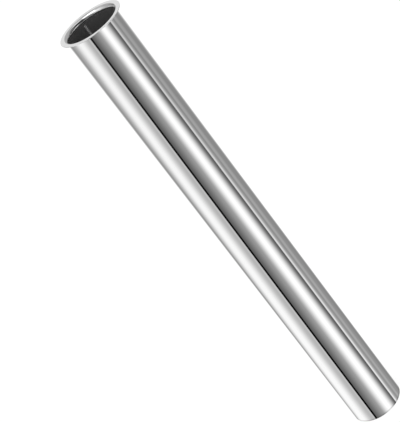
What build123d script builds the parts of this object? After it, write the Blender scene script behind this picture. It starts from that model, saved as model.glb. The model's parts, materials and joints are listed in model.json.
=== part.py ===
from build123d import *
import os

# Basin waste tail pipe: one length of thin metal tube. Its top end is rolled out
# square into a flat collar, and its lower end is cut off square and deburred.
# It stands on the cut end: the origin is the centre of that end, +Z runs up the
# tube's axis to the collar. All sizes are in millimetres.

# Driving dimensions of the tube
tube_diameter = 32.0  # outside
wall = 0.9
pipe_length = 300.0  # from the cut end to the collar's top face

# The collar, rolled out of the tube's own wall, which thins as it is stretched
collar_width = 3.0  # how far it stands out from the tube
collar_thickness = 0.45
under_bend_radius = 0.9  # in the corner between the tube and the collar's underside
mouth_bend_depth = 2.4  # from the collar's top face down to the straight bore
rim_round = 0.2  # on both edges of the collar's rim

# The cut end, where a deburring tool breaks both edges
outer_deburr = 0.1
inner_deburr = 0.12

# The tube is rolled from strip, so a low weld bead runs down the inside
bead_width = 1.1
bead_height = 0.15
bead_angle = 101.0  # degrees round from +X towards +Y
bead_ironed_length = 0.2  # below the bend, where forming the collar pressed it flat
bead_run_out = 1.5  # length of its sloping top end

# Sizes that follow from them
outer_radius = tube_diameter / 2
inner_radius = outer_radius - wall
collar_radius = outer_radius + collar_width
collar_underside_z = pipe_length - collar_thickness
under_bend_z = collar_underside_z - under_bend_radius  # where the outside starts to bend
mouth_bend_z = pipe_length - mouth_bend_depth  # where the bore does
# Both bends end at the same radius, where the collar lies flat
bend_end_r = outer_radius + under_bend_radius
# The rim's two rounded edges can't meet in the middle of the collar's thickness
rim_radius = min(rim_round, 0.45 * collar_thickness)
# The bead's top slope ends below the bend
bead_top_z = mouth_bend_z - bead_ironed_length
bead_root_radius = inner_radius + wall / 2  # its root lies inside the wall


def bent_wall():
    """The tube and its collar, as one section turned round the axis."""
    rim_r = collar_radius - rim_radius
    rim_low_z = collar_underside_z + rim_radius
    rim_high_z = pipe_length - rim_radius
    mouth_bend_width = bend_end_r - inner_radius
    with BuildPart() as turned:
        with BuildSketch(Plane.XZ):
            with BuildLine():
                Line((inner_radius, 0), (outer_radius - outer_deburr, 0))
                Line((outer_radius - outer_deburr, 0), (outer_radius, outer_deburr))
                Line((outer_radius, outer_deburr), (outer_radius, under_bend_z))
                CenterArc((bend_end_r, under_bend_z), under_bend_radius, 180, -90)
                Line((bend_end_r, collar_underside_z), (rim_r, collar_underside_z))
                CenterArc((rim_r, rim_low_z), rim_radius, -90, 90)
                Line((collar_radius, rim_low_z), (collar_radius, rim_high_z))
                CenterArc((rim_r, rim_high_z), rim_radius, 0, 90)
                Line((rim_r, pipe_length), (bend_end_r, pipe_length))
                # The mouth's inner curve is a quarter ellipse, deeper than it is wide
                EllipticalCenterArc(
                    (bend_end_r, mouth_bend_z),
                    mouth_bend_width,
                    mouth_bend_depth,
                    start_angle=90,
                    arc_size=90,
                )
                Line((inner_radius, mouth_bend_z), (inner_radius, 0))
            make_face()
        revolve(axis=Axis.Z)
    return turned.part


def weld_bead():
    """The bead: a low rounded ridge up the bore, sloping off below the bend."""
    half_width = bead_width / 2
    foot_r = (inner_radius**2 - half_width**2) ** 0.5
    crest_r = inner_radius - bead_height
    with BuildPart() as ridge:
        with BuildSketch():
            with BuildLine():
                ThreePointArc((foot_r, -half_width), (crest_r, 0), (foot_r, half_width))
                Line((foot_r, half_width), (bead_root_radius, half_width))
                Line((bead_root_radius, half_width), (bead_root_radius, -half_width))
                Line((bead_root_radius, -half_width), (foot_r, -half_width))
            make_face()
        extrude(amount=bead_top_z)
        # The slope: everything above a cone that leaves the wall at the bead's top
        slope_rise = bead_run_out / bead_height
        reach = inner_radius - crest_r + wall
        with BuildSketch(Plane.XZ):
            with BuildLine():
                Polyline(
                    (inner_radius, bead_top_z),
                    (inner_radius - reach, bead_top_z - reach * slope_rise),
                    (inner_radius - reach, bead_top_z),
                    close=True,
                )
            make_face()
        revolve(axis=Axis.Z, mode=Mode.SUBTRACT)
    return ridge.part.rotate(Axis.Z, bead_angle)


def deburring_cone():
    """What the deburring tool takes out of the bore's lower edge, bead included."""
    tool_radius = inner_radius + inner_deburr
    with BuildPart() as tool:
        with BuildSketch(Plane.XZ):
            with BuildLine():
                Polyline((0, 0), (tool_radius, 0), (0, tool_radius), close=True)
            make_face()
        revolve(axis=Axis.Z)
    return tool.part


tail_pipe = bent_wall() + weld_bead() - deburring_cone()

os.makedirs("parts", exist_ok=True)
export_step(tail_pipe, "parts/tail_pipe.step")

print("outside diameter", tube_diameter, "collar diameter", 2 * collar_radius)
print("volume mm3", round(tail_pipe.volume, 1), "valid", tail_pipe.is_valid)
print("box", tail_pipe.bounding_box())
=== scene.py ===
# %% [markdown]
# # Dressing a basin waste's tail pipe
#
# A tail pipe is the straight metal tube under a washbasin. Its flat collar is clamped to the
# basin's outlet, and its plain lower end drops into the trap. On the real thing it is one
# length of thin tube, rolled from strip, welded down its seam, flared square at one end and
# then chromed and polished.
#
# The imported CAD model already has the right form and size. It could be shown as it is, but
# its mesh is made of loose facets, and chrome shows every facet as a kink in its
# reflections. So the same tube is modelled again here as one clean, evenly divided mesh,
# at the sizes that the CAD part states, and the CAD part is hidden behind it.

import json
import math

import bmesh
import bpy
from mathutils import Matrix, Vector


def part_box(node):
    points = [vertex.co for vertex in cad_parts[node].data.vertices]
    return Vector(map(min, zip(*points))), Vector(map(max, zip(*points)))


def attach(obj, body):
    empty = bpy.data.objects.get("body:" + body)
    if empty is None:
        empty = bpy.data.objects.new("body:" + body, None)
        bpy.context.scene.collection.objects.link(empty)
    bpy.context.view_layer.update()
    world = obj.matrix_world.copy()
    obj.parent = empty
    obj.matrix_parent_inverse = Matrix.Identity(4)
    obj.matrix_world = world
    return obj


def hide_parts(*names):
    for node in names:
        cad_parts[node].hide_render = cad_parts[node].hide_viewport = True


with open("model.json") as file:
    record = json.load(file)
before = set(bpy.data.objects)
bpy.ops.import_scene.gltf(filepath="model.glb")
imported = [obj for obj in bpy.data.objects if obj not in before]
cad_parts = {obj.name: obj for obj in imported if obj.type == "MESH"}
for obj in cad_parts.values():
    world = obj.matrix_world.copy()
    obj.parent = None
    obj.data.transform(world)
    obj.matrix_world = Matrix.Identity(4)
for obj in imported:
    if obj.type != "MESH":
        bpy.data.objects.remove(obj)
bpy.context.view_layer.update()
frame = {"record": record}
low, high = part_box("tail_pipe")
print("CAD model, mm:", [round(1000 * side, 2) for side in high - low])

# %% [markdown]
# ## The sizes
#
# Blender works in metres here. Everything that the frame knows is read from it: the overall
# height and the collar's width from the node's box, and the rest from the mounts in the
# record. The tube's outside and its bore are round mounts, each as long as its straight wall,
# so they also say where the two bends begin. Only the small features are named again.

# %% Name the sizes
MM = 0.001
mounts = {mount["name"]: mount for mount in frame["record"]["mounts"]}


def wall_of(name):
    """The radius of a round mount, and the height where its straight wall ends."""
    mount = mounts[name]
    half_length = mount["dims"]["length_mm"] * MM / 2
    return mount["dims"]["r_mm"] * MM, mount["pos_m"][2] + half_length


TUBE_RADIUS, UNDER_BEND_Z = wall_of("outer_wall")
BORE_RADIUS, MOUTH_BEND_Z = wall_of("bore")
PIPE_LENGTH = high.z
COLLAR_RADIUS = high.x
COLLAR_UNDERSIDE_Z = mounts["collar_seat"]["pos_m"][2]
UNDER_BEND_RADIUS = COLLAR_UNDERSIDE_Z - UNDER_BEND_Z
BEND_END_RADIUS = TUBE_RADIUS + UNDER_BEND_RADIUS  # from here out the collar lies flat
RIM_ROUND_ABOVE = 0.07 * MM
RIM_ROUND_BELOW = 0.35 * MM
OUTER_DEBURR = 0.1 * MM
INNER_DEBURR = 0.12 * MM
print("wall, mm:", round((TUBE_RADIUS - BORE_RADIUS) / MM, 2))
print("collar's thickness, mm:", round((PIPE_LENGTH - COLLAR_UNDERSIDE_Z) / MM, 2))

# %% [markdown]
# ## The camera
#
# The tube stands on its cut end, and the camera looks down on it from a little above its
# mouth. A long lens from less than a metre away gives the slight taper towards the far end,
# and the camera is rolled so that the tube lies across the picture from corner to corner.
# The roll could be put into the tube instead, but then it would no longer stand in its own
# frame, so the camera is what turns.

# %% Place the camera
CAMERA_PLACE = Vector((0.0, -0.83576, 0.58087))
CAMERA_AIM = Vector((-0.01432, -0.00011, 0.17376))
CAMERA_ROLL = math.radians(37.629)
LENS = 141.91  # mm
SENSOR = 36.0  # mm, along the picture's longer side
NEAREST, FURTHEST = 0.01, 50.0  # the camera sees what lies between

bpy.ops.object.select_all(action="DESELECT")
bpy.ops.object.camera_add(location=CAMERA_PLACE)
camera = bpy.context.active_object
camera.name = "camera"
camera.data.lens = LENS
camera.data.sensor_width = SENSOR
camera.data.clip_start = NEAREST
camera.data.clip_end = FURTHEST
looking = (CAMERA_AIM - CAMERA_PLACE).to_track_quat("-Z", "Y").to_matrix().to_4x4()
rolled = looking @ Matrix.Rotation(-CAMERA_ROLL, 4, "Z")
camera.matrix_world = Matrix.Translation(CAMERA_PLACE) @ rolled
bpy.context.scene.camera = camera
print("camera to tube, m:", round((CAMERA_AIM - CAMERA_PLACE).length, 3))

# %% [markdown]
# ## Selecting in code
#
# By hand, edges and faces are clicked on. In a script they are found by where they are. The
# last of these helpers goes through the vertices, edges or faces of a mesh in edit mode and
# selects those whose points all pass a test. The two before it give a point's distance from
# the tube's axis, and say whether two lengths are the same. Most tests ask for one or both.

# %% Helpers for selecting
SLACK = 0.02 * MM  # a point this close to a place counts as being there


def from_axis(point):
    """How far a point lies from the tube's axis."""
    return math.hypot(point.x, point.y)


def near(value, target):
    """True if two lengths are the same within the slack."""
    return abs(value - target) < SLACK


def pick(piece, kind, test):
    """Selects the VERT, EDGE or FACE parts of a mesh in edit mode whose points all pass."""
    bpy.ops.mesh.select_mode(type=kind)
    bpy.ops.mesh.select_all(action="DESELECT")
    mesh = bmesh.from_edit_mesh(piece.data)
    parts = {"VERT": mesh.verts, "EDGE": mesh.edges, "FACE": mesh.faces}[kind]
    found = 0
    for part in parts:
        points = [part.co] if kind == "VERT" else [corner.co for corner in part.verts]
        if all(test(point) for point in points):
            part.select_set(True)
            found += 1
    bmesh.update_edit_mesh(piece.data)
    return found


# %% [markdown]
# ## Drawing up the tube
#
# A cylinder primitive would give the tube in one step, but with no rings between its ends.
# Here the outside starts as a circle at the cut end and is pulled up ring by ring, the way a
# tube grows out of a mill: an extrude to the next height, a resize to the next radius, and so
# on. A few plain rings on the way keep the faces from being needles.
#
# The circle is turned so that one column of vertices lies exactly on the weld.

# %% Extrude the outside
SIDES = 516  # six of them are as wide as the weld bead
WELD_ANGLE = math.radians(101.0)  # round from +X towards +Y
RING_SPACING = 25.0 * MM

bpy.ops.object.select_all(action="DESELECT")
bpy.ops.mesh.primitive_circle_add(
    vertices=SIDES, radius=TUBE_RADIUS, fill_type="NOTHING", rotation=(0, 0, WELD_ANGLE)
)
pipe = bpy.context.active_object
pipe.name = "chromed_tail_pipe"
bpy.ops.object.transform_apply(location=False, rotation=True, scale=False)
last_ring = {"radius": TUBE_RADIUS, "height": 0.0}


def pull_ring(radius, height):
    """Extrudes the selected ring into a new one, at a radius and a height of its own."""
    rise = height - last_ring["height"]
    widen = radius / last_ring["radius"]
    bpy.ops.mesh.extrude_region_move(TRANSFORM_OT_translate={"value": (0, 0, rise)})
    bpy.ops.transform.resize(value=(widen, widen, 1), center_override=(0, 0, 0))
    last_ring.update(radius=radius, height=height)


plain_levels = [RING_SPACING * step for step in range(1, int(MOUTH_BEND_Z / RING_SPACING) + 1)]
bpy.ops.object.mode_set(mode="EDIT")
bpy.ops.mesh.select_all(action="SELECT")
for level in plain_levels + [UNDER_BEND_Z]:
    pull_ring(TUBE_RADIUS, level)
print("rings up the outside:", len(plain_levels) + 2)

# %% [markdown]
# ## Rolling out the collar
#
# A flaring tool spins in the tube's mouth and folds the wall outwards until it lies flat. A
# spin would sweep that corner, but about one axis only. Pulling on, with each ring a little
# higher and wider by the sine and cosine of the bend, folds the whole mouth at once. The wall
# is stretched as it goes out, so the collar is thinner than the tube. That is why the skin
# isn't simply given an even wall by a Solidify modifier.

# %% Extrude the bend and the collar
UNDER_BEND_STEPS = 8

for step in range(1, UNDER_BEND_STEPS + 1):
    turn = math.pi / 2 * step / UNDER_BEND_STEPS
    pull_ring(
        BEND_END_RADIUS - UNDER_BEND_RADIUS * math.cos(turn),
        UNDER_BEND_Z + UNDER_BEND_RADIUS * math.sin(turn),
    )
pull_ring(COLLAR_RADIUS, COLLAR_UNDERSIDE_Z)
pull_ring(COLLAR_RADIUS, PIPE_LENGTH)
pull_ring(BEND_END_RADIUS, PIPE_LENGTH)
print("flat of the collar, mm wide:", round((COLLAR_RADIUS - BEND_END_RADIUS) / MM, 2))

# %% [markdown]
# ## Down the mouth and the bore
#
# The tool's nose is long, so the mouth's inner curve is deeper than it is wide: a quarter of
# an ellipse. After it the rings go straight down the bore. Two of them mark the top of the
# weld bead, which is raised later. At the bottom the last ring and the first one lie side by
# side, and bridging them makes the cut face, which closes the shell.

# %% Extrude the inside
MOUTH_BEND_STEPS = 16
BEAD_IRONED = 0.2 * MM  # the length of bead that forming the collar pressed flat
BEAD_RUN_OUT = 1.5 * MM  # the length of its sloping end, below that
BEAD_TOP_Z = MOUTH_BEND_Z - BEAD_IRONED
BEAD_SLOPE_Z = BEAD_TOP_Z - BEAD_RUN_OUT

for step in range(1, MOUTH_BEND_STEPS + 1):
    turn = math.pi / 2 * step / MOUTH_BEND_STEPS
    pull_ring(
        BEND_END_RADIUS - (BEND_END_RADIUS - BORE_RADIUS) * math.sin(turn),
        MOUTH_BEND_Z + (PIPE_LENGTH - MOUTH_BEND_Z) * math.cos(turn),
    )
for level in [BEAD_TOP_Z, BEAD_SLOPE_Z] + plain_levels[::-1] + [0.0]:
    pull_ring(BORE_RADIUS, level)
pick(pipe, "EDGE", lambda point: near(point.z, 0.0))
bpy.ops.mesh.bridge_edge_loops()
bpy.ops.mesh.select_all(action="SELECT")
bpy.ops.mesh.normals_make_consistent(inside=False)
bpy.ops.object.mode_set(mode="OBJECT")
print("faces in the shell:", len(pipe.data.polygons))

# %% [markdown]
# ## Rounding the rim and breaking the cut edges
#
# The collar's rim is trimmed from below, which leaves it softly rounded underneath and nearly
# crisp on top. The cut end is deburred: a blade takes a narrow slope off its outer edge and a
# cone takes one off its inner edge. All are bevels, and only their widths and their number of
# segments differ.

# %% Bevel the edges
RIM_SEGMENTS = 6
DEBURR_SEGMENTS = 1  # a flat slope


def bevel_ring(radius, height, width, segments):
    """Bevels the one ring of edges at a distance from the axis and a height."""
    found = pick(
        pipe,
        "EDGE",
        lambda point: near(from_axis(point), radius) and near(point.z, height),
    )
    bpy.ops.mesh.bevel(offset=width, segments=segments, profile=0.5, affect="EDGES")
    print("bevelled", found, "edges, mm wide:", round(width / MM, 2))


bpy.ops.object.mode_set(mode="EDIT")
bevel_ring(COLLAR_RADIUS, PIPE_LENGTH, RIM_ROUND_ABOVE, RIM_SEGMENTS)
bevel_ring(COLLAR_RADIUS, COLLAR_UNDERSIDE_Z, RIM_ROUND_BELOW, RIM_SEGMENTS)
bevel_ring(TUBE_RADIUS, 0.0, OUTER_DEBURR, DEBURR_SEGMENTS)
bevel_ring(BORE_RADIUS, 0.0, INNER_DEBURR, DEBURR_SEGMENTS)

# %% [markdown]
# ## The weld bead
#
# Where the two edges of the strip met, the weld left a low ridge down the inside. It is a
# real form, and it catches the light that the bore does not. It could be a bump in the
# material, but then its end, where the flaring tool ironed it flat, would have no shape. So
# the few columns of vertices that lie on it are moved towards the axis, the middle one
# furthest, up to the height where the bead slopes off.

# %% Raise the bead
BEAD_HEIGHT = 0.15 * MM
BEAD_HALF_COLUMNS = 3  # columns of vertices from the bead's crest to its foot
COLUMN_SLACK = 0.3  # of a column, within which a vertex counts as being on it

column_turn = 2 * math.pi / SIDES
towards_axis = Vector((-math.cos(WELD_ANGLE), -math.sin(WELD_ANGLE), 0))


def past_weld(point):
    """How far round from the weld a point lies, in columns of vertices."""
    turn = math.atan2(point.y, point.x) - WELD_ANGLE
    return (turn + math.pi) % (2 * math.pi) / column_turn - math.pi / column_turn


for column in range(1 - BEAD_HALF_COLUMNS, BEAD_HALF_COLUMNS):
    pick(
        pipe,
        "VERT",
        lambda point: abs(past_weld(point) - column) < COLUMN_SLACK
        and near(from_axis(point), BORE_RADIUS)
        and point.z < BEAD_SLOPE_Z + SLACK,
    )
    lift = BEAD_HEIGHT * (1 - (column / BEAD_HALF_COLUMNS) ** 2)
    bpy.ops.transform.translate(value=towards_axis * lift)
bpy.ops.object.mode_set(mode="OBJECT")
print("bead width, mm:", round(2 * BEAD_HALF_COLUMNS * column_turn * BORE_RADIUS / MM, 2))

# %% [markdown]
# ## Smooth shading
#
# Chrome needs normals that are true to the form. Smoothing by angle keeps the deburred
# edges crisp. Along the bend, though, plain smoothing would share each normal evenly
# between a tiny face and a long one, and the reflections would drift for centimetres down
# the tube. Weighting the normals by the size of the faces gives the long walls their own
# true normals, and the bend takes up the turn.

# %% Set the normals
SHARP_ANGLE = math.radians(30)
AREA_WEIGHT = 100  # the most there is: the largest faces decide

bpy.ops.object.select_all(action="DESELECT")
pipe.select_set(True)
bpy.context.view_layer.objects.active = pipe
bpy.ops.object.shade_smooth_by_angle(angle=SHARP_ANGLE)
weighted = pipe.modifiers.new("true normals", "WEIGHTED_NORMAL")
weighted.keep_sharp = True
weighted.weight = AREA_WEIGHT
bpy.ops.object.modifier_apply(modifier=weighted.name)
print("faces in the finished mesh:", len(pipe.data.polygons))

# %% [markdown]
# ## What the finishes share
#
# Every surface of the tube still carries the marks of how it was made, and they run one of
# two ways: along the tube where it was drawn and polished, and in circles where a tool
# turned on it. Each kind is a node group with its own inputs, built once and placed in
# every material that needs it. A third group gives the soft cloudiness of handled metal.


# %% Helpers for nodes
def add_node(tree, kind, **settings):
    """Adds a node, and sets the properties that are named."""
    node = tree.nodes.new(kind)
    for name, value in settings.items():
        setattr(node, name, value)
    return node


def new_material(name):
    """A material with an empty node tree, and the socket that its shader goes to."""
    material = bpy.data.materials.new(name)
    material.use_nodes = True
    tree = material.node_tree
    tree.nodes.clear()
    output = add_node(tree, "ShaderNodeOutputMaterial")
    return material, tree, output.inputs["Surface"]


def new_group(name, inputs, output):
    """An empty shader node group with float inputs, a place and one float output."""
    group = bpy.data.node_groups.new(name, "ShaderNodeTree")
    place = group.interface.new_socket("Place", in_out="INPUT", socket_type="NodeSocketVector")
    place.hide_value = True
    for label, value in inputs.items():
        socket = group.interface.new_socket(
            label, in_out="INPUT", socket_type="NodeSocketFloat"
        )
        socket.default_value = value
    group.interface.new_socket(output, in_out="OUTPUT", socket_type="NodeSocketFloat")
    return group, add_node(group, "NodeGroupInput"), add_node(group, "NodeGroupOutput")


# %% The group for marks along the tube
def build_drawn_lines():
    """Noise that is fine across the tube and long along it, from 0 to 1."""
    group, given, result = new_group(
        "drawn lines", {"Line width": 0.3 * MM, "Line length": 60 * MM}, "Lines"
    )
    link = group.links.new
    per_width = add_node(group, "ShaderNodeMath", operation="DIVIDE")
    per_width.inputs[0].default_value = 1.0
    link(given.outputs["Line width"], per_width.inputs[1])
    per_length = add_node(group, "ShaderNodeMath", operation="DIVIDE")
    per_length.inputs[0].default_value = 1.0
    link(given.outputs["Line length"], per_length.inputs[1])
    stretch = add_node(group, "ShaderNodeCombineXYZ")
    link(per_width.outputs[0], stretch.inputs["X"])
    link(per_width.outputs[0], stretch.inputs["Y"])
    link(per_length.outputs[0], stretch.inputs["Z"])
    scaled = add_node(group, "ShaderNodeVectorMath", operation="MULTIPLY")
    link(given.outputs["Place"], scaled.inputs[0])
    link(stretch.outputs[0], scaled.inputs[1])
    noise = add_node(group, "ShaderNodeTexNoise")
    noise.inputs["Scale"].default_value = 1.0
    noise.inputs["Detail"].default_value = 3.0
    link(scaled.outputs[0], noise.inputs["Vector"])
    link(noise.outputs["Fac"], result.inputs["Lines"])
    return group


drawn_lines = build_drawn_lines()
print("node group:", drawn_lines.name)


# %% The group for marks in circles
def build_turned_rings():
    """Noise that changes only with the distance from the axis, from 0 to 1."""
    group, given, result = new_group("turned rings", {"Ring width": 0.1 * MM}, "Rings")
    link = group.links.new
    flat = add_node(group, "ShaderNodeVectorMath", operation="MULTIPLY")
    flat.inputs[1].default_value = (1, 1, 0)
    link(given.outputs["Place"], flat.inputs[0])
    radius = add_node(group, "ShaderNodeVectorMath", operation="LENGTH")
    link(flat.outputs[0], radius.inputs[0])
    counted = add_node(group, "ShaderNodeMath", operation="DIVIDE")
    link(radius.outputs["Value"], counted.inputs[0])
    link(given.outputs["Ring width"], counted.inputs[1])
    noise = add_node(group, "ShaderNodeTexNoise", noise_dimensions="1D")
    noise.inputs["Scale"].default_value = 1.0
    noise.inputs["Detail"].default_value = 2.0
    link(counted.outputs[0], noise.inputs["W"])
    link(noise.outputs["Fac"], result.inputs["Rings"])
    return group


turned_rings = build_turned_rings()
print("node group:", turned_rings.name)

# %% The group for handled metal
CLEAN_UP_TO = 0.45  # of the noise
CLOUDED_FROM = 0.75


def build_clouding():
    """Soft patches, from 0 where the metal is clean to 1 where it is faintly clouded."""
    group, given, result = new_group("clouding", {"Patch size": 12 * MM}, "Clouding")
    link = group.links.new
    shrunk = add_node(group, "ShaderNodeVectorMath", operation="DIVIDE")
    link(given.outputs["Place"], shrunk.inputs[0])
    link(given.outputs["Patch size"], shrunk.inputs[1])
    noise = add_node(group, "ShaderNodeTexNoise")
    noise.inputs["Scale"].default_value = 1.0
    noise.inputs["Detail"].default_value = 4.0
    link(shrunk.outputs[0], noise.inputs["Vector"])
    patches = add_node(group, "ShaderNodeMapRange", interpolation_type="SMOOTHSTEP")
    patches.inputs["From Min"].default_value = CLEAN_UP_TO
    patches.inputs["From Max"].default_value = CLOUDED_FROM
    link(noise.outputs["Fac"], patches.inputs["Value"])
    link(patches.outputs[0], result.inputs["Clouding"])
    return group


clouding = build_clouding()
print("node group:", clouding.name)

# %% [markdown]
# ## The metals
#
# All the finishes are metal, so each is a Principled shader that is metallic, and what
# differs is how light it is, how rough, and which marks it carries. The first helper starts
# such a material. The others place a node group in it, mix two values or two greys by a
# mask, and press marks into the surface with a Bump node. Wherever a value follows a mask,
# at_none is what it is where the mask is 0, and at_full where it is 1.


# %% Helpers for metals
def new_metal(name, slot):
    """A metallic material with its place node, ready for its masks."""
    material, tree, surface = new_material(name)
    shader = add_node(tree, "ShaderNodeBsdfPrincipled")
    shader.inputs["Metallic"].default_value = 1.0
    tree.links.new(shader.outputs["BSDF"], surface)
    place = add_node(tree, "ShaderNodeTexCoord")
    material["slot"] = slot
    return material, tree, shader, place.outputs["Object"]


def place_group(tree, group, place, **values):
    """Puts a node group in a material, fed with the place and its own values."""
    node = add_node(tree, "ShaderNodeGroup", node_tree=group)
    tree.links.new(place, node.inputs["Place"])
    for label, value in values.items():
        node.inputs[label.replace("_", " ")].default_value = value
    return node.outputs[0]


def spread(tree, mask, at_none, at_full):
    """Turns a mask from 0 to 1 into a value between two others."""
    node = add_node(tree, "ShaderNodeMapRange")
    node.inputs["To Min"].default_value = at_none
    node.inputs["To Max"].default_value = at_full
    tree.links.new(mask, node.inputs["Value"])
    return node.outputs[0]


def tone(tree, mask, at_none, at_full):
    """Mixes two greys by a mask."""
    node = add_node(tree, "ShaderNodeMix", data_type="RGBA")
    node.inputs["A"].default_value = (at_none, at_none, at_none, 1)
    node.inputs["B"].default_value = (at_full, at_full, at_full, 1)
    tree.links.new(mask, node.inputs["Factor"])
    return node.outputs["Result"]


def press(tree, shader, marks, depth):
    """Presses marks into the surface: depth is how deep they are, in metres."""
    node = add_node(tree, "ShaderNodeBump")
    node.inputs["Strength"].default_value = 1.0
    node.inputs["Distance"].default_value = depth
    tree.links.new(marks, node.inputs["Height"])
    tree.links.new(node.outputs["Normal"], shader.inputs["Normal"])


# %% [markdown]
# ## The chromed outside
#
# Polished chrome is a mirror, so nearly all its look is what it reflects. What keeps it from
# looking like a drawing is small: the polishing belt ran along the tube and left faint
# lines, and the roughness is not quite the same everywhere. At the cut end a band less than
# a millimetre wide is painted greyer: painted shade that outlines the foot.

# %% Chrome along the tube
CHROME = {"at_none": 0.93, "at_full": 0.87}  # its greys, off its marks and on them
# Painted shade at the foot: its grey, and the heights where it is full and where it is gone.
FOOT_SHADE_GREY = 0.62
FOOT_SHADE_FULL_Z = 0.6 * MM  # the painted shade is full up to here
FOOT_SHADE_GONE_Z = 1.4 * MM  # and gone from here up


def painted_foot_shade(tree, place):
    """A mask for the painted shade at the foot: 1 at the cut end and 0 on the rest of the
    tube.
    """
    apart = add_node(tree, "ShaderNodeSeparateXYZ")
    tree.links.new(place, apart.inputs[0])
    mask = add_node(tree, "ShaderNodeMapRange", interpolation_type="SMOOTHSTEP")
    mask.inputs["From Min"].default_value = FOOT_SHADE_FULL_Z
    mask.inputs["From Max"].default_value = FOOT_SHADE_GONE_Z
    mask.inputs["To Min"].default_value = 1.0
    mask.inputs["To Max"].default_value = 0.0
    tree.links.new(apart.outputs["Z"], mask.inputs["Value"])
    return mask.outputs[0]


def build_tube_chrome():
    material, tree, shader, place = new_metal("polished chrome, tube", "chromed_tube")
    lines = place_group(tree, drawn_lines, place, Line_width=0.35 * MM, Line_length=90 * MM)
    patches = place_group(tree, clouding, place, Patch_size=14 * MM)
    # Painted shade: the foot's grey is mixed in at the cut end.
    foot = add_node(tree, "ShaderNodeMix", data_type="RGBA")
    foot.inputs["B"].default_value = (FOOT_SHADE_GREY, FOOT_SHADE_GREY, FOOT_SHADE_GREY, 1)
    tree.links.new(painted_foot_shade(tree, place), foot.inputs["Factor"])
    tree.links.new(tone(tree, lines, **CHROME), foot.inputs["A"])
    tree.links.new(foot.outputs["Result"], shader.inputs["Base Color"])
    roughness = spread(tree, patches, at_none=0.03, at_full=0.07)
    tree.links.new(roughness, shader.inputs["Roughness"])
    press(tree, shader, lines, depth=0.0004 * MM)
    return material


tube_chrome = build_tube_chrome()
print("material:", tube_chrome.name)


# %% Chrome on the collar
def build_collar_chrome():
    material, tree, shader, place = new_metal("polished chrome, collar", "chromed_tube")
    rings = place_group(tree, turned_rings, place, Ring_width=0.25 * MM)
    tree.links.new(tone(tree, rings, **CHROME), shader.inputs["Base Color"])
    roughness = spread(tree, rings, at_none=0.04, at_full=0.08)
    tree.links.new(roughness, shader.inputs["Roughness"])
    press(tree, shader, rings, depth=0.0003 * MM)
    return material


collar_chrome = build_collar_chrome()
print("material:", collar_chrome.name)

# %% [markdown]
# ## Inside and at the cut
#
# Plating hardly reaches into a tube, so the bore is the plain drawn metal, greyer and
# duller. The weld bead is the same metal but was never drawn smooth, and scatters more
# light. The cut end was plated after it was cut, and shows the rings of the cutter.


# %% The bore
def build_bore_metal():
    material, tree, shader, place = new_metal("drawn metal, bore", "chromed_tube")
    lines = place_group(tree, drawn_lines, place, Line_width=0.5 * MM, Line_length=30 * MM)
    shader.inputs["Metallic"].default_value = 0.88
    grey = tone(tree, lines, at_none=0.45, at_full=0.39)
    tree.links.new(grey, shader.inputs["Base Color"])
    roughness = spread(tree, lines, at_none=0.25, at_full=0.35)
    tree.links.new(roughness, shader.inputs["Roughness"])
    press(tree, shader, lines, depth=0.0005 * MM)
    return material


bore_metal = build_bore_metal()
print("material:", bore_metal.name)


# %% The weld bead
def build_bead_metal():
    material, tree, shader, place = new_metal("welded metal, bead", "chromed_tube")
    lines = place_group(tree, drawn_lines, place, Line_width=0.3 * MM, Line_length=2 * MM)
    shader.inputs["Metallic"].default_value = 0.7
    grey = tone(tree, lines, at_none=0.72, at_full=0.6)
    tree.links.new(grey, shader.inputs["Base Color"])
    roughness = spread(tree, lines, at_none=0.45, at_full=0.6)
    tree.links.new(roughness, shader.inputs["Roughness"])
    press(tree, shader, lines, depth=0.004 * MM)
    return material


bead_metal = build_bead_metal()
print("material:", bead_metal.name)


# %% The cut end
def build_cut_metal():
    material, tree, shader, place = new_metal("cut metal, lower end", "chromed_tube")
    rings = place_group(tree, turned_rings, place, Ring_width=0.05 * MM)
    grey = tone(tree, rings, at_none=0.86, at_full=0.74)
    tree.links.new(grey, shader.inputs["Base Color"])
    roughness = spread(tree, rings, at_none=0.15, at_full=0.3)
    tree.links.new(roughness, shader.inputs["Roughness"])
    press(tree, shader, rings, depth=0.002 * MM)
    return material


cut_metal = build_cut_metal()
print("material:", cut_metal.name)

# %% [markdown]
# ## Giving each face its finish
#
# Material slots are filled in an order, and each later choice takes its faces from the ones
# before: first chrome all over, then the collar, the bore, the bead on it and the cut end.

# %% Assign the metals
CUT_TOP_Z = max(OUTER_DEBURR, INNER_DEBURR)
BEAD_REACH = BEAD_HALF_COLUMNS + COLUMN_SLACK


def on_collar(point):
    return point.z > MOUTH_BEND_Z - SLACK


def on_bore(point):
    return from_axis(point) < BORE_RADIUS + SLACK and point.z < MOUTH_BEND_Z + SLACK


def on_bead(point):
    below_slope = point.z < BEAD_SLOPE_Z + SLACK
    return on_bore(point) and below_slope and abs(past_weld(point)) < BEAD_REACH


def on_cut(point):
    return point.z < CUT_TOP_Z + SLACK


finishes = [
    (tube_chrome, lambda point: True),
    (collar_chrome, on_collar),
    (bore_metal, on_bore),
    (bead_metal, on_bead),
    (cut_metal, on_cut),
]
for material, _ in finishes:
    pipe.data.materials.append(material)
bpy.ops.object.mode_set(mode="EDIT")
for index, (material, test) in enumerate(finishes):
    found = pick(pipe, "FACE", test)
    pipe.active_material_index = index
    bpy.ops.object.material_slot_assign()
    print(material.name, "is on", found, "faces")
bpy.ops.object.mode_set(mode="OBJECT")

# %% [markdown]
# ## Telling the frame about the piece
#
# The tube moves with the part's one body, stands for the CAD node and takes its finish from
# the record's one slot.

# %% Ride, replace, slot
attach(pipe, "root")
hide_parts("tail_pipe")
print(pipe.name, "rides on root and stands for tail_pipe")

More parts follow.
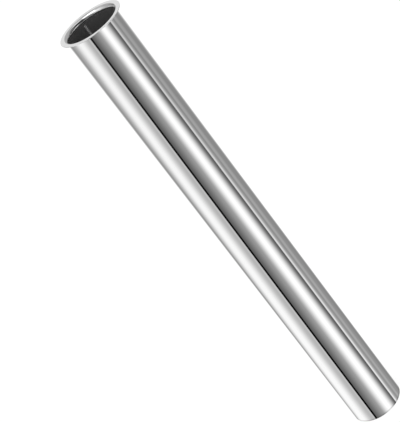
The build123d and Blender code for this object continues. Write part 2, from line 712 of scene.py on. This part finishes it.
# %% [markdown]
# ## The floor and the white room
#
# The floor and the room round it are pure white to the camera. The floor is a plain white
# surface that adds just enough light of its own, for the camera alone, to meet the white
# behind it, so the tube keeps a soft shadow where it stands. Chrome would mirror that floor
# from top to bottom and look like white plastic, so the floor is left out of reflections.

# %% Make the floor
FLOOR_RADIUS = 8.0
FLOOR_GREY = 0.35
FLOOR_GLOW = 0.8  # for the camera alone
ROUND_SIDES = 64

bpy.ops.object.select_all(action="DESELECT")
bpy.ops.mesh.primitive_circle_add(
    vertices=ROUND_SIDES, radius=FLOOR_RADIUS, fill_type="NGON"
)
floor = bpy.context.active_object
floor.name = "floor"
floor.visible_glossy = False


def build_floor_paper():
    material, tree, surface = new_material("white paper")
    paper = add_node(tree, "ShaderNodeBsdfDiffuse")
    paper.inputs["Color"].default_value = (FLOOR_GREY, FLOOR_GREY, FLOOR_GREY, 1)
    ray = add_node(tree, "ShaderNodeLightPath")
    strength = spread(tree, ray.outputs["Is Camera Ray"], at_none=0.0, at_full=FLOOR_GLOW)
    glow = add_node(tree, "ShaderNodeEmission")
    tree.links.new(strength, glow.inputs["Strength"])
    both = add_node(tree, "ShaderNodeAddShader")
    tree.links.new(paper.outputs[0], both.inputs[0])
    tree.links.new(glow.outputs[0], both.inputs[1])
    tree.links.new(both.outputs[0], surface)
    return material


floor.data.materials.append(build_floor_paper())
print("floor radius, m:", FLOOR_RADIUS)

# %% The room's light
ROOM_LIGHT = 0.8  # on the floor and the tube
ROOM_IN_CHROME = 0.6  # what a mirror sees overhead
ROOM_SEEN = 1.0  # what the camera sees: pure white

world = bpy.data.worlds.new("white room")
world.use_nodes = True
bpy.context.scene.world = world
room = world.node_tree
room.nodes.clear()
ray = add_node(room, "ShaderNodeLightPath")
mirrored = add_node(room, "ShaderNodeMix", data_type="FLOAT")
mirrored.inputs["A"].default_value = ROOM_LIGHT
mirrored.inputs["B"].default_value = ROOM_IN_CHROME
room.links.new(ray.outputs["Is Glossy Ray"], mirrored.inputs["Factor"])
seen = add_node(room, "ShaderNodeMix", data_type="FLOAT")
seen.inputs["B"].default_value = ROOM_SEEN
room.links.new(mirrored.outputs["Result"], seen.inputs["A"])
room.links.new(ray.outputs["Is Camera Ray"], seen.inputs["Factor"])
background = add_node(room, "ShaderNodeBackground")
room.links.new(seen.outputs["Result"], background.inputs["Strength"])
room_output = add_node(room, "ShaderNodeOutputWorld")
room.links.new(background.outputs[0], room_output.inputs["Surface"])
print("the room's light:", ROOM_LIGHT, "and in chrome:", ROOM_IN_CHROME)

# %% [markdown]
# ## The light tent
#
# Chrome is lit by building what it will mirror. A photographer stands it in a tall white
# tent and hangs cards and panels on the wall: white ones that glow, grey ones, and narrow
# black ones that draw the crisp dark line every chrome tube has. A round tube mirrors the
# whole tent, squeezed into its width, so each panel becomes one band down the tube.
#
# The tent is a cylinder that only mirror rays see. Its material works out where on the wall
# a point is, as an angle round from the front and a height, and each panel is one node
# group laid over the wall before it. A panel may lean, so it has one angle at its head and
# one at its foot, and its two sides may be crisp or soft.

# %% The group for one panel
CORNERS = ("Starts", "Full from", "Full to", "Ends")
PANEL_END_SOFTNESS = 0.12  # m, over which its lower and upper ends fade


def build_panel():
    """Lays one panel over the wall's light: its own level inside, a soft step at each side."""
    group = bpy.data.node_groups.new("tent panel", "ShaderNodeTree")
    ends = [f"{corner} at {end}" for end in ("head", "foot") for corner in CORNERS]
    placing = ["Angle", "Height", "Down", "Bottom", "Top"]
    for label in ["Wall", "Head level", "Foot level"] + placing + ends:
        group.interface.new_socket(label, in_out="INPUT", socket_type="NodeSocketFloat")
    group.interface.new_socket("Wall", in_out="OUTPUT", socket_type="NodeSocketFloat")
    given = add_node(group, "NodeGroupInput")
    result = add_node(group, "NodeGroupOutput")
    link = group.links.new

    def between(head, foot):
        """A value of the panel at this height, from its head and its foot."""
        node = add_node(group, "ShaderNodeMix", data_type="FLOAT", clamp_factor=False)
        link(given.outputs["Down"], node.inputs["Factor"])
        link(given.outputs[head], node.inputs["A"])
        link(given.outputs[foot], node.inputs["B"])
        return node.outputs["Result"]

    def soft_step(value, first, last, rising):
        """A smooth step between two values, up or down."""
        node = add_node(group, "ShaderNodeMapRange", interpolation_type="SMOOTHSTEP")
        node.inputs["To Min"].default_value = 0.0 if rising else 1.0
        node.inputs["To Max"].default_value = 1.0 if rising else 0.0
        link(value, node.inputs["Value"])
        link(first, node.inputs["From Min"])
        link(last, node.inputs["From Max"])
        return node.outputs[0]

    def times(first, second):
        node = add_node(group, "ShaderNodeMath", operation="MULTIPLY")
        link(first, node.inputs[0])
        link(second, node.inputs[1])
        return node.outputs[0]

    starts, full_from, full_to, stops = [
        between(f"{corner} at head", f"{corner} at foot") for corner in CORNERS
    ]

    def softened(limit):
        """The height above one of the panel's ends where its fade is over."""
        node = add_node(group, "ShaderNodeMath", operation="ADD")
        node.inputs[1].default_value = PANEL_END_SOFTNESS
        link(given.outputs[limit], node.inputs[0])
        return node.outputs[0]

    angle, height = given.outputs["Angle"], given.outputs["Height"]
    across = times(
        soft_step(angle, starts, full_from, True),
        soft_step(angle, full_to, stops, False),
    )
    upright = times(
        soft_step(height, given.outputs["Bottom"], softened("Bottom"), True),
        soft_step(height, given.outputs["Top"], softened("Top"), False),
    )
    laid = add_node(group, "ShaderNodeMix", data_type="FLOAT")
    link(times(across, upright), laid.inputs["Factor"])
    link(given.outputs["Wall"], laid.inputs["A"])
    link(between("Head level", "Foot level"), laid.inputs["B"])
    link(laid.outputs["Result"], result.inputs["Wall"])
    return group


panel_group = build_panel()
print("node group:", panel_group.name)


# %% A helper for the angle
def angle_and_height(tree):
    """A point's angle round the axis, 0 in front and positive to the right, and its height."""
    place = add_node(tree, "ShaderNodeTexCoord")
    apart = add_node(tree, "ShaderNodeSeparateXYZ")
    tree.links.new(place.outputs["Object"], apart.inputs[0])
    forwards = add_node(tree, "ShaderNodeMath", operation="MULTIPLY")
    forwards.inputs[1].default_value = -1.0
    tree.links.new(apart.outputs["Y"], forwards.inputs[0])
    round_axis = add_node(tree, "ShaderNodeMath", operation="ARCTAN2")
    tree.links.new(apart.outputs["X"], round_axis.inputs[0])
    tree.links.new(forwards.outputs[0], round_axis.inputs[1])
    angle = add_node(tree, "ShaderNodeMath", operation="DEGREES")
    tree.links.new(round_axis.outputs[0], angle.inputs[0])
    return angle.outputs[0], apart.outputs["Z"]


# %% [markdown]
# ## Hanging the panels
#
# Most panels hang in the tent's lower half, because from above that is what the tube
# mirrors. Its top mirrors the wall a little below the middle and its foot mirrors it much
# lower, so a panel is given at those two heights: the four angles where it starts, is full,
# fades and ends, and its level. Angles are degrees round from the front, positive to the
# right. Left and right meet at 180 behind the tube, and a panel that reaches there ends just
# past it, so that the seam isn't seen. A level of 1 mirrors as white. The order counts,
# because a later panel lies over the ones before it.
#
# The panels higher up are seen only in the bend inside the mouth. They are upright, so one
# row of angles and one level are enough for them. Above the high cards the tent's own wall
# goes on, lighter than below and lightest on the right.

# %% Hang the panels
TENT_RADIUS = 1.2
TENT_SIDES = 128
TENT_TOP_Z = 3.2
CARD_TOP_Z = 1.6  # where the high cards end
UPPER_RIGHT_Z = 1.9  # where the wall's lightest stretch begins
TENT_FLOOR_Z = -1.1
LOW_TOP_Z = 0.2  # where the low panels end
HEAD_Z = -0.10  # the height that the tube's top mirrors
FOOT_Z = -0.83  # and its foot
WALL_LEVEL = 0.42
ALL_ROUND = (-182, -181, 181, 182)

# name: angles at the head, angles at the foot, level at the head, level at the foot
LOW_PANELS = {
    "left back card": ((-182, -181, -166, -143), (-182, -181, -165, -151), 0.80, 0.82),
    "left back wall": ((-158, -140, -134, -124), (-163, -150, -146, -140), 0.33, 0.33),
    "right back wall": ((108, 120, 181, 182), (108, 120, 181, 182), 0.28, 0.26),
    "right back card": ((133, 176, 181, 182), (145, 187, 188, 189), 0.95, 0.93),
    "left grey card": ((-110, -80, -32, -31), (-120, -90, -45, -44), 0.48, 0.53),
    "left softbox": ((-124, -79, -79, -42), (-160, -120, -105, -60), 1.02, 1.07),
    "dark front card": ((-28, -27.5, -33, 18), (-42, -41, -48, 8), 0.10, 0.11),
    "right dark card": ((20, 30, 68.2, 69.7), (20, 30, 68.2, 69.7), 0.12, 0.12),
    "right softbox": ((3, 30, 28.5, 66), (-9, 25, 28.5, 66), 1.15, 1.15),
    "right wall": ((75, 80, 120, 138), (75, 80, 118, 136), 0.27, 0.32),
    "strip light, wide": ((68.2, 70.2, 74, 89), (68.2, 70.2, 74, 89), 0.45, 0.57),
    "strip light, narrow": ((68.2, 70.2, 74, 79), (68.2, 70.2, 74, 79), 0.63, 0.89),
    "right grey card": ((88, 95, 100, 118), (91, 100, 102, 115), 0.38, 0.44),
    "bright edge": ((-42, -40, -35.4, -35), (-56, -54, -50.3, -49.9), 0.57, 0.60),
    "black flag": ((-35, -34, -27.5, -26.5), (-49.9, -48.9, -41.4, -40.4), 0.01, 0.0),
}

# name: angles, level, lower end, upper end
HIGH_PANELS = {
    "upper wall": (ALL_ROUND, 0.52, CARD_TOP_Z, TENT_TOP_Z),
    "upper right wall": ((-4, 16, 96, 110), 0.82, UPPER_RIGHT_Z, TENT_TOP_Z),
    "left shelf": ((-182, -181, -174, -165), 0.45, 0.08, 0.42),
    "right shelf": ((165, 174, 181, 182), 0.75, 0.08, 0.42),
    "left dim corner": ((-172, -160, -145, -135), 0.21, 0.45, 0.68),
    "left dim card": ((-152, -145, -132, -120), 0.31, 0.62, 0.95),
    "left high card": ((-182, -181, -172, -163), 0.8, 0.5, 0.92),
    "right high card": ((163, 172, 181, 182), 0.8, 0.5, 0.85),
    "left top card": ((-182, -181, -158, -146), 0.50, 1.0, CARD_TOP_Z),
    "right top card": ((115, 130, 181, 182), 0.44, 0.95, CARD_TOP_Z),
    "high softbox": ((-114, -56, -40, -14), 0.95, 0.55, CARD_TOP_Z),
    "dark front shelf": ((-50, -30, 80, 125), 0.06, 0.24, 0.64),
    "lit end of the shelf": ((30, 44, 54, 68), 0.5, 0.28, 0.62),
    "high dark card": ((40, 52, 92, 108), 0.18, 0.62, CARD_TOP_Z),
    "high black card": ((-16, 18, 58, 76), 0.02, 0.62, CARD_TOP_Z),
}

PANELS = {
    name: (head, foot, head_level, foot_level, TENT_FLOOR_Z, LOW_TOP_Z)
    for name, (head, foot, head_level, foot_level) in LOW_PANELS.items()
}
for name, (angles, level, bottom, top) in HIGH_PANELS.items():
    PANELS[name] = (angles, angles, level, level, bottom, top)


def lay_panel(tree, name, values, wall_light, angle, height, down):
    """Places one panel over the wall's light, and gives the light with the panel on it."""
    head, foot, head_level, foot_level, bottom, top = values
    panel = add_node(tree, "ShaderNodeGroup", node_tree=panel_group, label=name)
    for corner, at_head, at_foot in zip(CORNERS, head, foot):
        panel.inputs[f"{corner} at head"].default_value = at_head
        panel.inputs[f"{corner} at foot"].default_value = at_foot
    panel.inputs["Head level"].default_value = head_level
    panel.inputs["Foot level"].default_value = foot_level
    panel.inputs["Bottom"].default_value = bottom
    panel.inputs["Top"].default_value = top
    tree.links.new(wall_light, panel.inputs["Wall"])
    tree.links.new(angle, panel.inputs["Angle"])
    tree.links.new(height, panel.inputs["Height"])
    tree.links.new(down, panel.inputs["Down"])
    return panel.outputs["Wall"]


def build_card_glow(name, bare_level, panels):
    """A glowing card: its own level, and the panels that are laid on it."""
    material, tree, surface = new_material(name)
    angle, height = angle_and_height(tree)
    down = add_node(tree, "ShaderNodeMapRange", clamp=False)
    down.inputs["From Min"].default_value = HEAD_Z
    down.inputs["From Max"].default_value = FOOT_Z
    tree.links.new(height, down.inputs["Value"])
    bare = add_node(tree, "ShaderNodeValue")
    bare.outputs[0].default_value = bare_level
    light = bare.outputs[0]
    for panel_name, values in panels.items():
        light = lay_panel(tree, panel_name, values, light, angle, height, down.outputs[0])
    glow = add_node(tree, "ShaderNodeEmission")
    tree.links.new(light, glow.inputs["Strength"])
    tree.links.new(glow.outputs[0], surface)
    return material


bpy.ops.object.select_all(action="DESELECT")
bpy.ops.mesh.primitive_cylinder_add(
    vertices=TENT_SIDES,
    radius=TENT_RADIUS,
    depth=TENT_TOP_Z - TENT_FLOOR_Z,
    end_fill_type="NOTHING",
    location=(0, 0, (TENT_TOP_Z + TENT_FLOOR_Z) / 2),
)
tent = bpy.context.active_object
tent.name = "light_tent"
bpy.ops.object.transform_apply(location=True, rotation=False, scale=False)
tent.data.materials.append(build_card_glow("tent wall", WALL_LEVEL, PANELS))


def only_for_mirrors(card):
    """Hides a card from everything but the rays that chrome sends out."""
    card.visible_camera = False
    card.visible_diffuse = False
    card.visible_transmission = False
    card.visible_volume_scatter = False
    card.visible_shadow = False


only_for_mirrors(tent)
print("panels in the tent:", len(PANELS))

# %% [markdown]
# ## The table card
#
# The tent stands open at its foot. A white card closes it there, as the table would, and
# whatever faces down, such as the lower edge of the rim, mirrors that card. Two dim patches
# of painted shade lie on it, and break up the light along that edge.

# %% Lay the table card
TABLE_LEVEL = 1.0
# Painted shade on the table card: the level of its dim patches, and their angles below.
TABLE_SHADE_LEVEL = 0.06
SHADE_CLEARANCE = 1.0  # the patches of painted shade lie flat, so their two ends are put this far off the table
TABLE_SHADE_PATCHES = {
    "front dark card": (-48, -32, 4, 26),
    "left dark card": (-115, -100, -84, -70),
}

table_shade_patches = {}
for name, angles in TABLE_SHADE_PATCHES.items():
    ends = (TENT_FLOOR_Z - SHADE_CLEARANCE, TENT_FLOOR_Z + SHADE_CLEARANCE)
    table_shade_patches[name] = (angles, angles, TABLE_SHADE_LEVEL, TABLE_SHADE_LEVEL, *ends)

bpy.ops.object.select_all(action="DESELECT")
bpy.ops.mesh.primitive_circle_add(
    vertices=ROUND_SIDES, radius=TENT_RADIUS, fill_type="NGON", location=(0, 0, TENT_FLOOR_Z)
)
table = bpy.context.active_object
table.name = "table_card"
bpy.ops.object.transform_apply(location=True, rotation=False, scale=False)
table.data.materials.append(build_card_glow("table card", TABLE_LEVEL, table_shade_patches))
only_for_mirrors(table)
print("table card under the tent, m:", TENT_FLOOR_Z)

# %% [markdown]
# ## The key light
#
# One large softbox hangs high in front, to the left of the camera. The tube's sides never
# mirror it, but the bend inside the mouth does: it is the white crescent on the far side of
# the dark bore. It also gives the tube a soft shadow on the floor.

# %% Hang the key light
KEY_ELEVATION = math.radians(48)
KEY_TURN = math.radians(-26)  # round from the camera's side, to its left
KEY_DISTANCE = 1.5
KEY_WIDTH = 1.3
KEY_HEIGHT = 1.2
KEY_LEVEL = 1.1  # how bright it mirrors, where 1 is white

key_data = bpy.data.lights.new("key_softbox", "AREA")
key_data.shape = "RECTANGLE"
key_data.size = KEY_WIDTH
key_data.size_y = KEY_HEIGHT
key_data.energy = KEY_LEVEL * math.pi * KEY_WIDTH * KEY_HEIGHT
key = bpy.data.objects.new("key_softbox", key_data)
bpy.context.scene.collection.objects.link(key)
mouth = Vector((0, 0, PIPE_LENGTH))
key_flat = math.cos(KEY_ELEVATION)
key_way = Vector(
    (key_flat * math.sin(KEY_TURN), -key_flat * math.cos(KEY_TURN), math.sin(KEY_ELEVATION))
)
key.location = mouth + key_way * KEY_DISTANCE
key.rotation_euler = key_way.to_track_quat("Z", "Y").to_euler()
print("key light at, m:", [round(value, 2) for value in key.location])

# %% [markdown]
# ## Last settings
#
# Standard keeps the greys as they were set.

# %% Finish
scene = bpy.context.scene
scene.view_settings.view_transform = "Standard"
